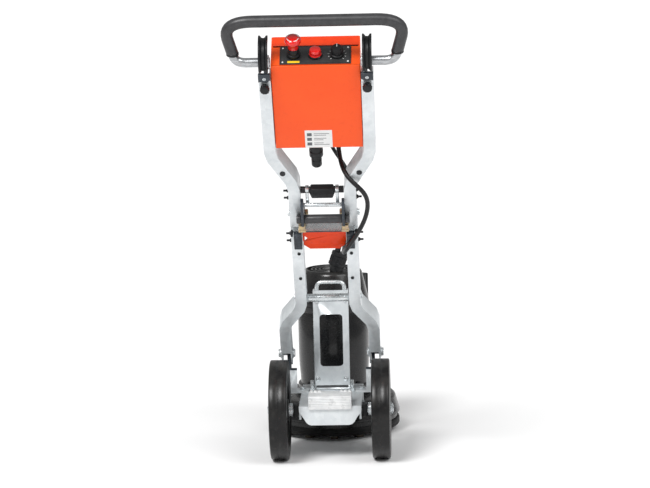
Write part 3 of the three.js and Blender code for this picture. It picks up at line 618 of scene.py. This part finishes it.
boxFrame = headFrame @ Matrix.Rotation(radians(62), 4, "Z")
boxParts = [block(97, 126, -32, 32, 318, 396, 3), block(126.6, 135, -32, 32, 318, 396, 3),
            block(92, 99, -22, 22, 326, 388, 1), rod("Z", 9, 304, 318, 112, 0, 32), rod("Z", 10.6, 306, 313, 112, 0, 6)]
boxScrews = [socketScrew("X", 3, 134.4, 136.4, y, z) for y in (-26, 26) for z in (325, 389)]
addPiece("terminal_box_looks", joined(*boxParts), boxFrame, "chassis", blackPlastic, ["terminal_box"])
addPiece("terminal_box_screws", joined(*boxScrews), boxFrame, "chassis", brightZinc)

plug = {"x": 12, "y": 300, "z": 441, "tilt": 20, "length": 36, "radius": 22}
plugFrame = floorFrame @ Matrix.Translation((plug["x"], plug["y"], plug["z"])) @ Matrix.Rotation(
    radians(plug["tilt"]), 4, "Y")
pedestal = turned([(0, 426.4), (16.4, 426.4), (17, 427), (17, 447), (16, 448), (0, 448)], steps=64)
plugBody = turned([(0, 0), (21, 0), (22, 1), (22, 8), (20.6, 9.4), (20.6, 26), (22, 27.4), (22, 34.6), (20.8, 36),
                   (0, 36)], steps=72)
grips = ringOf(18, block(20, 21.8, -1.1, 1.1, 10.4, 25, 0.4, 2))
addPiece("motor_connector_foot", pedestal, floorFrame @ Matrix.Translation((plug["x"], plug["y"], 0)), "chassis",
         blackPlastic)
addPiece("motor_connector_looks", joined(plugBody, grips), plugFrame, "chassis", blackPlastic,
         ["motor_connector"])
print("grinding head made")

# Lower handle: two bent channels, the cross tube, the guard and the fold bracket

member = {"wideHigh": 118, "clamp": 948}
for side, sign in sides:
    addPiece(f"lower_frame_{side}_looks", fromNode(f"lower_frame_{side}", 1.3), millimetres, "lower_handle",
             galvanised, [f"lower_frame_{side}"])
    addPiece(f"upper_frame_{side}_looks", fromNode(f"upper_frame_{side}", 1.3), millimetres, "upper_handle",
             galvanised, [f"upper_frame_{side}"])
addPiece("cross_tube_looks", rod("X", 10, -52.6, 52.6, 0, 205, 64, 0.8), handleFrame, "lower_handle",
         brightZinc, ["cross_tube"])

# The guard plate, a copy of its CAD node with its edges rounded
addPiece("guard_plate_looks", fromNode("guard_plate", 0.7), millimetres, "lower_handle", orangeDeep,
         ["guard_plate"])
bracket = fromNode("fold_bracket", 1.0)
toHandle = handleFrame.inverted() @ Matrix.Scale(0.001, 4)
for face in bracket.faces:
    face.material_index = int((toHandle @ face.calc_center_median()).z < 468)
addPiece("fold_bracket_looks", bracket, Matrix.Scale(0.001, 4), "lower_handle", [darkCoatAndPaintedShade, brightZinc],
         ["fold_bracket"])
addPiece("catch_bar_looks", rod("X", 5, -52.4, 52.4, -25, 560, 48, 0.6), handleFrame, "lower_handle",
         brightZinc, ["catch_bar"])

bumper = {"y": -35, "z": 522, "core": 8, "foam": 11}
half = [(0, 64), (9, 64), (10.6, 63.2), (11, 61.6), (11, 55.2), (10.4, 53.6), (9.2, 53), (8, 53), (8, 45.6),
        (9.2, 45.6), (10.4, 45), (11, 43.4)]
bumperProfile = [(r, -w) for r, w in half] + [(r, w) for r, w in reversed(half)]
addPiece("bumper_bar_looks", turned(bumperProfile, "X", bumper["y"], bumper["z"], 64), handleFrame, "lower_handle",
         foamGrip, ["bumper_bar"])

foldPin = {"y": 18, "z": 490}
for side, sign in sides:
    mirror = handleFrame @ Matrix.Scale(sign, 4, (1, 0, 0))
    pinParts = joined(
        painted(rod("X", 5, 38.6, 87.4, 18, 490, 32, 0.8), 0),
        painted(rod("X", 10, 39, 45.6, 18, 490, 6, 1.0), 1),
        painted(rod("X", 7.6, 38, 39.4, 18, 490, 32, 0.5), 1),
        painted(hexBolt("X", 8, 81.4, 88, 18, 490, 1.2), 0),
    )
    addPiece(f"fold_pin_{side}_looks", pinParts, mirror, "lower_handle", [brightZinc, goldZinc],
             [f"fold_pin_{side}"])

# Gold nut blocks on the bracket arms, rubber stops and dark side blocks
nutBlocks = []
stopBlocks = []
zincBolts = []
darkBolts = []
for sign in (-1, 1):
    nutBlocks += [block(sign * 52 - 8, sign * 52 + 8, -37, -25, 484, 499, 1.4),
                  rod("X", 6.4, sign * 52 - 9, sign * 52 + 9, -32, 481, 6, 0.8)]
    stopBlocks += [block(sign * 64 - 10, sign * 64 + 10, -33, -22.3, 413, 465, 2.2, 4),
                   block(sign * 64 - 6, sign * 64 + 6, -34.6, -32, 421, 457, 1, 2)]
    zincBolts.append(hexBolt("X", 5.5, sign * 81, sign * 85.4, 4, 205))
    for z in (434, 409):
        darkBolts += [hexBolt("X", 5, sign * 81, sign * 86, 4, z),
                      rod("X", 2.6, min(sign * 85, sign * 94), max(sign * 85, sign * 94), 4, z, 20, 0.4)]
    for z in (388, 300):
        darkBolts.append(socketScrew("Y", 4, -22, -25, sign * 64, z))
    darkBolts.append(rod("Y", 3, -40, -20, sign * 78, 468, 20, 0.6))
addPiece("fold_nut_blocks", joined(*nutBlocks), handleFrame, "lower_handle", goldZinc)
addPiece("rest_blocks", joined(*stopBlocks), handleFrame, "lower_handle", darkCoatAndPaintedShade)
addPiece("lower_frame_bolts", joined(*zincBolts), handleFrame, "lower_handle", brightZinc)
addPiece("lower_frame_screws", joined(*darkBolts), handleFrame, "lower_handle", darkBolt)

# Latch: a black sprung shaft with its grip, and two zinc claws over the catch bar
latchAxis = {"y": -11, "z": 598}
clawOutline = [(-19, 607), (-20.6, 604), (-19.4, 590), (-17.4, 567), (-17.4, 556), (-20.6, 552), (-20.8, 550.6),
               (-19.4, 550), (-12, 551.6), (-10.4, 553.4), (-7, 569), (-3.4, 589), (-2.6, 604), (-4, 607)]
latchParts = [
    painted(rod("X", 8.2, -52, 52, latchAxis["y"], latchAxis["z"], 56, 0.8), 0),
    painted(block(-28, 28, -21.6, -0.6, 588.6, 607.4, 3.4, 4), 0),
    painted(plate("Y", [(-31, 594), (31, 594), (25, 575), (-25, 575)], -19, -6, 2.4, 3), 0),
]
latchParts += [painted(rod("X", 0.9, -25, 25, -21.5, z, 12, 0.3), 0) for z in (592, 596, 600, 604)]
latchParts += [painted(rod("X", 9, x - 0.9, x + 0.9, latchAxis["y"], latchAxis["z"], 40, 0.4), 2)
               for x in (-50, -45.6, 45.6, 50)]
latchParts += [painted(rod("X", 9.4, x - 1.4, x + 1.4, latchAxis["y"], latchAxis["z"], 32, 0.5), 0)
               for x in (-34, -38, 34, 38)]
latchParts += [painted(plate("X", clawOutline, sign * 36 - 4, sign * 36 + 4, 0.9, 3), 1) for sign in (-1, 1)]
addPiece("fold_latch_looks", joined(*latchParts), handleFrame, "latch",
         [blackPlastic, brightZinc, darkBolt], ["fold_latch"])
print("lower handle made")

# Upper handle: bar brackets, hooks, clamps and bolts

for side, sign in sides:
    mirror = handleFrame @ Matrix.Scale(sign, 4, (1, 0, 0))
    addPiece(f"bar_bracket_{side}_looks", fromNode(f"bar_bracket_{side}", 0.9), millimetres, "upper_handle",
             brightZinc, [f"bar_bracket_{side}"])
    addPiece(f"cable_hook_{side}_looks", fromNode(f"cable_hook_{side}", 1.3, 3, 40), millimetres, "upper_handle",
             blackPlastic, [f"cable_hook_{side}"], 40)
    knob = turned([(0, -40), (8.4, -40), (10, -38.8), (10.5, -37), (10.5, -30), (9.6, -27), (9.2, -24), (8.4, -22.6),
                   (4.2, -22.4), (4.2, 11), (3.4, 12), (0, 12)], "Y", 0, 0, 64)
    lobes = moved(ringOf(10, rod("Z", 1.5, 27.5, 38.6, 9.7, 0, 16, 0.6)), Matrix.Rotation(pi / 2, 4, "X"))
    clampPlace = handleFrame @ Matrix.Translation((sign * member["wideHigh"], 0, member["clamp"]))
    addPiece(f"clamp_knob_{side}_looks", joined(knob, lobes), clampPlace, f"clamp_{side}",
             blackPlastic, [f"clamp_knob_{side}"])
    shim = [(104, 974), (110, 968), (132, 968), (132, 990), (104, 990)]
    wedge = plate("Y", shim, -31, -22.2, 1.2, 3)
    band = block(104.6, 131.4, -24.8, -22.1, 959.6, 967.6, 0.6)
    screw = socketScrew("Y", 4, -31, -33.4, 118, 979)
    addPiece(f"clamp_wedge_{side}", joined(painted(wedge, 0), painted(band, 1), painted(screw, 1)), mirror,
             "upper_handle", [darkCoatAndPaintedShade, brightZinc])
    bolts = joined(*[hexBolt("X", 5, 81, 86, 4, z) for z in (557, 581)],
                   *[rod("X", 2.6, 85, 94, 4, z, 20, 0.4) for z in (557, 581)],
                   *[hexBolt("X", 4.6, 119.2, 122.6, y, 896) for y in (-8, 9)])
    addPiece(f"upper_frame_bolts_{side}", bolts, mirror, "upper_handle", darkBolt)
    webBolt = turned([(0, -26.6), (4.4, -26.2), (6.6, -24.4), (7, -22), (0, -22)], "Y", 91, 664, 32)
    addPiece(f"upper_frame_screws_{side}", webBolt, mirror, "upper_handle", darkBolt)

# Console: the shell, its rear cover, the deep orange lid strip, the panel and the controls

console = {"front": 84, "top": 1003, "face": 1006}
addPiece("console_box_looks", fromNode("console_box", 1.6, 4), millimetres, "upper_handle", orangeCoat,
         ["console_box"])
addPiece("console_cover_looks", block(-102.5, 102.5, -16, -12.4, 742, 1003, 1.4, 4), handleFrame, "upper_handle",
         orangeCoat, ["console_cover"])
coverSeam = [block(-102.2, 102.2, -12.6, -11.8, 742.4, 1002.6, 0)]
addPiece("console_gasket", joined(*coverSeam), handleFrame, "upper_handle", skirtRubber)
lidStrip = joined(painted(block(-100, 100, 51.4, 82.4, 1003, 1006, 1.2, 3), 0),
                  painted(block(-98, 98, 49.2, 51.2, 1002.8, 1004.2, 0.4, 2), 1))
addPiece("console_lid_strip", lidStrip, handleFrame, "upper_handle", [orangeDeep, skirtRubber])
ribs = joined(*[block(-70 + 20 * i, -66 + 20 * i, 83.6, 85.6, 770, 970, 0.9, 2) for i in range(8)])
addPiece("console_front_ribs", ribs, handleFrame, "upper_handle", orangeCoat)

controls = {"y": 18, "stop": -50, "start": 0, "speed": 50}
addPiece("control_panel_looks", fromNode("control_panel", 0.6), millimetres, "upper_handle", panelGrey,
         ["control_panel"])
face = console["face"]
border = []
for y in (-9.4, 46.6):
    border.append(block(-80, 80, y, y + 0.9, face - 0.1, face + 0.25, 0))
for x in (-80, 79.1):
    border.append(block(x, x + 0.9, -9.4, 47.5, face - 0.1, face + 0.25, 0))
addPiece("panel_border", joined(*border), handleFrame, "upper_handle", glossBlack)


def dialMarks(x, y, inner, outer, start, end, count):
    marks = []
    for step in range(count):
        angle = radians(start + (end - start) * step / (count - 1))
        mark = block(inner, outer, -0.5, 0.5, -0.1, 0.3, 0)
        marks.append(moved(mark, Matrix.Translation((x, y, face)) @ Matrix.Rotation(angle, 4, "Z")))
    return marks


marks = dialMarks(controls["speed"], controls["y"], 18.4, 21.4, -45, 225, 11)
for x in (-75, 75):
    for y in (-5, 42):
        marks.append(turned([(0, face), (2.2, face), (2, face + 0.7), (0, face + 1)], "Z", x, y, 24))
addPiece("panel_marks", joined(*marks), handleFrame, "upper_handle", whiteInk)
addPiece("stop_tag", block(-64, -36, -8, -1.4, face - 0.1, face + 0.5, 0.3, 2), handleFrame, "upper_handle", yellowPlastic)


def onPanel(x):
    return handleFrame @ Matrix.Translation((x, controls["y"], face))


stopStem = turned([(0, -10), (11.6, -10), (12, -9.6), (12, 1.6), (0, 1.6)], steps=64)
stopCollar = turned([(0, 1.6), (15.4, 1.6), (16, 2.4), (16, 7), (15, 8.4), (13.2, 9), (13.2, 23), (12.6, 24), (0, 24)],
                    steps=72)
stopCone = turned([(0, 24), (12, 24), (12, 30), (12.8, 35), (14.4, 38.6), (17.4, 41.4), (18.6, 43), (19, 45), (18.9, 48),
                   (17.4, 51.6), (14, 54.2), (8, 55.7), (0, 56)], steps=96)
ringPart = turned([(12.6, 54.7), (13.8, 54.1), (14.1, 54.6), (12.8, 55.3)], steps=96)
bmesh.ops.delete(ringPart, geom=[f for f in ringPart.faces
                                 if abs(f.calc_center_median().x) < 2.4 or abs(f.calc_center_median().y) < 2.4],
                 context="FACES")
bmesh.ops.holes_fill(ringPart, edges=[edge for edge in ringPart.edges if edge.is_boundary], sides=4)
stopLooks = joined(painted(stopStem, 1), painted(stopCollar, 1), painted(stopCone, 0), painted(ringPart, 2))
addPiece("emergency_stop_looks", stopLooks, onPanel(controls["stop"]), "stop_button",
         [redPlastic, blackPlastic, whiteInk], ["emergency_stop"])
bezel = turned([(9.7, 0), (16.2, 0), (16.8, 0.6), (16.8, 3), (15.4, 4.2), (14.8, 4.2), (14.7, 0.2), (9.7, 0.2)], steps=72)
addPiece("start_bezel", bezel, onPanel(controls["start"]), "upper_handle", glossBlack)
startProfile = [(0, -10), (8.6, -10), (9, -9.6), (9, 0.6), (14, 0.8), (14.4, 1.6), (14.4, 4.4), (12.8, 6.4), (12.8, 8.4),
                (13.6, 10), (13.6, 14), (12, 17.6), (8, 19.2), (0, 19.5)]
addPiece("start_button_looks", turned(startProfile, steps=80), onPanel(controls["start"]), "start_key",
         redPlastic, ["start_button"])
knobProfile = [(0, -10), (4.7, -10), (5, -9.6), (5, 0.6), (15.2, 0.8), (16, 1.6), (16, 4.6), (15.2, 5.6), (13.6, 6.4),
               (12.8, 21), (11.6, 22.8), (0, 23)]
knurls = ringOf(20, rod("Z", 0.9, 6.6, 21, 13.1, 0, 12, 0.4))
pointer = block(-0.9, 0.9, 2, 12.4, 22.6, 23.3, 0.2, 2)
pointerSide = block(-0.9, 0.9, 13, 14.4, 7, 21.6, 0.2, 2)
addPiece("speed_knob_looks", joined(painted(turned(knobProfile, steps=80), 0), painted(knurls, 0),
                                    painted(pointer, 1), painted(pointerSide, 1)),
         onPanel(controls["speed"]), "speed_dial", [blackPlastic, whiteInk], ["speed_knob"])

# Power inlet under the console, and the generic pictogram label on the cover
inlet = {"x": -10, "y": 8}
inletProfile = [(0, 754), (12.6, 754), (13, 753.6), (13, 741.6), (16, 741.6), (16.5, 741), (16.5, 722), (15.4, 721),
                (15.4, 714), (16.5, 713), (16.5, 697), (15.9, 696), (12.5, 696), (12.5, 690), (11.6, 689), (11.6, 684),
                (12.5, 683), (12.5, 665), (11.8, 664), (9.6, 664), (9, 664.8), (9, 686), (0, 686)]
pins = [rod("Z", 1.4, 668, 686.4, inlet["x"] + 4.6 * cos(a), inlet["y"] + 4.6 * sin(a), 16, 0.4)
        for a in (0.5, 2.6, 4.7)]
addPiece("power_inlet_looks", joined(painted(turned(inletProfile, "Z", inlet["x"], inlet["y"], 80), 0),
                                     painted(joined(*pins), 1)),
         handleFrame, "upper_handle", [blackPlastic, brightZinc], ["power_inlet"])
labelY = -16
label = {"x0": -33, "x1": 31, "z0": 743.5, "z1": 799}
labelParts = [painted(block(label["x0"], label["x1"], labelY - 0.5, labelY + 0.4, label["z0"], label["z1"], 0), 0)]
for row in range(3):
    z = 785 - 15 * row
    labelParts.append(painted(block(-28, -17, labelY - 0.7, labelY, z - 4.5, z + 5.5, 0), 1))
    for line in range(2):
        end = 24 - 7 * ((row + line) % 3)
        labelParts.append(painted(block(-12, end, labelY - 0.7, labelY, z + 2.6 - 5 * line, z + 4 - 5 * line, 0), 1))
addPiece("cover_label", joined(*labelParts), handleFrame, "upper_handle", [paleLabel, greyInk])
print("console made")

# Handlebar loop with its foam grip, in the bar's own leaning frame

loop = {"tube": 11, "grip": 14, "width": 199, "height": 104}


def bend(first, middle, last, steps=10):
    first, middle, last = Vector(first), Vector(middle), Vector(last)
    return [first * (1 - t) ** 2 + middle * 2 * t * (1 - t) + last * t * t
            for t in [step / steps for step in range(steps + 1)]]


def at(x, z):
    return (x, 0, z)


leftRoute = [Vector(at(-104, 0)), *bend(at(-160, 0), at(-187, 0), at(-189, 26)),
             *bend(at(-199, 62), at(-208, 104), at(-141, 104))]
barRoute = leftRoute + [Vector((-p.x, 0, p.z)) for p in reversed(leftRoute)]
addPiece("handlebar_tube_looks", tube(barRoute, loop["tube"], 10), barFrame, "handlebar", machinedSteel,
         ["handlebar_tube"])
gripLeft = [p for p in leftRoute if p.z > 27]
foot = Vector(at(-189.1, 24.6))
gripRoute = [foot] + gripLeft + [Vector((-p.x, 0, p.z)) for p in reversed(gripLeft)] + [Vector((-foot.x, 0, foot.z))]
addPiece("handlebar_grip_looks", tube(gripRoute, loop["grip"], 10), barFrame, "handlebar", foamGrip,
         ["handlebar_grip"])
cuffs = [turned([(11, 19.6), (13.6, 20), (14.6, 21), (14.6, 25.6), (13.8, 26.4), (11, 26.6)], "Z", sign * 189, 0, 48)
         for sign in (-1, 1)]
addPiece("grip_cuffs", joined(*cuffs), barFrame, "handlebar", blackPlastic)

# Motor leads: each leaves a gland under the console and drops to the socket on the motor


def fromHandle(x, y, z):
    return Vector((x, tiltPivot["y"] + y * cos(handleLean) - z * sin(handleLean),
                   tiltPivot["z"] + y * sin(handleLean) + z * cos(handleLean)))


def curvedRoute(points, steps=40):
    # A centripetal Catmull-Rom line through the points
    whole = [points[0] * 2 - points[1], *points, points[-1] * 2 - points[-2]]
    route = []
    for a, b, c, d in zip(whole, whole[1:], whole[2:], whole[3:]):
        t1 = (b - a).length ** 0.5
        t2 = t1 + (c - b).length ** 0.5
        t3 = t2 + (d - c).length ** 0.5
        for step in range(steps):
            t = t1 + (t2 - t1) * step / steps
            p1 = a * ((t1 - t) / t1) + b * (t / t1)
            p2 = b * ((t2 - t) / (t2 - t1)) + c * ((t - t1) / (t2 - t1))
            p3 = c * ((t3 - t) / (t3 - t2)) + d * ((t - t2) / (t3 - t2))
            q1 = p1 * ((t2 - t) / t2) + p2 * (t / t2)
            q2 = p2 * ((t3 - t) / (t3 - t1)) + p3 * ((t - t1) / (t3 - t1))
            route.append(q1 * ((t2 - t) / (t2 - t1)) + q2 * ((t - t1) / (t2 - t1)))
    return route + [points[-1]]


def eased(route, rounds):
    # The route with its bends evened out, less and less towards its two ends
    points = [Vector(point) for point in route]
    last = len(points) - 1
    pulls = [0.5 * min(1, max(0, min(step, last - step) - 2) / 8) for step in range(len(points))]
    for _ in range(rounds):
        middles = [(before + after) / 2 for before, after in zip(points, points[2:])]
        for step, middle in enumerate(middles, 1):
            points[step] = points[step].lerp(middle, pulls[step])
    return points


def alongRoute(route, start, end, count):
    # Even points between two fractions of a route's length
    lengths = [0]
    for a, b in zip(route, route[1:]):
        lengths.append(lengths[-1] + (b - a).length)
    points, place = [], 0
    for step in range(count):
        goal = lengths[-1] * (start + (end - start) * step / (count - 1))
        while place < len(lengths) - 2 and lengths[place + 1] < goal:
            place += 1
        share = (goal - lengths[place]) / (lengths[place + 1] - lengths[place])
        points.append(route[place].lerp(route[place + 1], share))
    return points, lengths[-1] * (end - start)


leadExit = 725.6
tiltAngle = radians(plug["tilt"])
plugUp = Vector((sin(tiltAngle), 0, cos(tiltAngle)))
plugAcross = Vector((cos(tiltAngle), 0, -sin(tiltAngle)))
plugTop = Vector((plug["x"], plug["y"], plug["z"])) + plugUp * plug["length"]


def socket(offset, lift):
    return plugTop + plugAcross * offset + plugUp * lift


leads = {
    "motor_lead": {"radius": 5.5, "console": (40, 62), "offset": 9, "way": [
        fromHandle(40.5, 56, 681), fromHandle(43, 38, 664), fromHandle(48, 6, 655), fromHandle(57, -20, 651),
        fromHandle(72, -38, 647), fromHandle(95, -43, 630),
        fromHandle(110, -38, 600), fromHandle(110, -38, 560), fromHandle(98, -40, 510), fromHandle(73, -45, 462),
        fromHandle(50, -34, 408), Vector((43, -50, 530)), Vector((43, 80, 530)), Vector((50, 180, 544)),
        Vector((58, 244, 548)), Vector((54.5, 286, 533))]},
    "signal_lead": {"radius": 4.5, "console": (18, 62), "offset": -9, "way": [
        fromHandle(21, 62, 678), Vector((60, -185, 752)), Vector((75, -50, 668)), Vector((58, 80, 619)), Vector((42, 200, 573)),
        Vector((39, 260, 548)), Vector((36, 287, 533))]},
}
for name, lead in leads.items():
    x, y = lead["console"]
    points = [fromHandle(x, y, leadExit), fromHandle(x, y, leadExit - 25), *lead["way"], socket(lead["offset"], 30),
              socket(lead["offset"], 0.4)]
    route = eased(alongRoute(curvedRoute(points), 0, 1, 180)[0], 60)
    for half, start, end, near, far in (("upper", 0, 0.4995, "upper_handle", "lower_handle"),
                                        ("lower", 0.5005, 1, "lower_handle", "chassis")):
        centreLine, length = alongRoute(route, start, end, 90)
        piece = addPiece(f"{name}_{half}_looks", tube(centreLine, lead["radius"], 6), floorFrame, None, leadRubber)
        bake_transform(piece)
        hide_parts(f"{name}_{half}")
        print(name, half, round(length), "mm long")
    # Tapered strain reliefs and nuts where the lead leaves the console and enters the motor's plug
    r = lead["radius"]
    relief = turned([(r, 0), (r + 3, 0.4), (r + 2.6, 6), (r + 0.9, 23), (r, 23.6)], steps=48)
    grooves = [turned([(r, w), (r + 3.1 - 0.1 * w, w), (r + 3.1 - 0.1 * w, w + 1.4), (r, w + 1.4)], steps=48)
               for w in (4, 8, 12, 16)]
    nut = rod("Z", r + 5.4, -6.6, 0.4, 0, 0, 6, 0.9)
    downward = handleFrame @ Matrix.Translation((x, y, leadExit)) @ Matrix.Rotation(pi, 4, "X")
    addPiece(f"{name}_console_relief", joined(relief, *grooves, nut), downward, "upper_handle",
             blackPlastic)
    foot = turned([(r, -0.6), (r + 3, 0), (r + 2.6, 6), (r + 0.9, 22), (r, 22.6)], steps=48)
    upward = plugFrame @ Matrix.Translation((lead["offset"], 0, plug["length"] + 0.4))
    addPiece(f"{name}_motor_relief", foot, upward, "chassis", blackPlastic)
print("leads made")

# Inner parts keep their own shape and get their finish on the node itself
innerFinishes = {
    "rotor_shaft": machinedSteel, "rotor": machinedSteel, "stator": copperWire, "lower_bearing": machinedSteel,
    "upper_bearing": machinedSteel, "cooling_fan": blackPlastic, "inverter": darkCoatAndPaintedShade,
}
for name, material in innerFinishes.items():
    mesh = cadNodes[name].data
    mesh.materials.clear()
    mesh.materials.append(material)
print("inner parts finished")
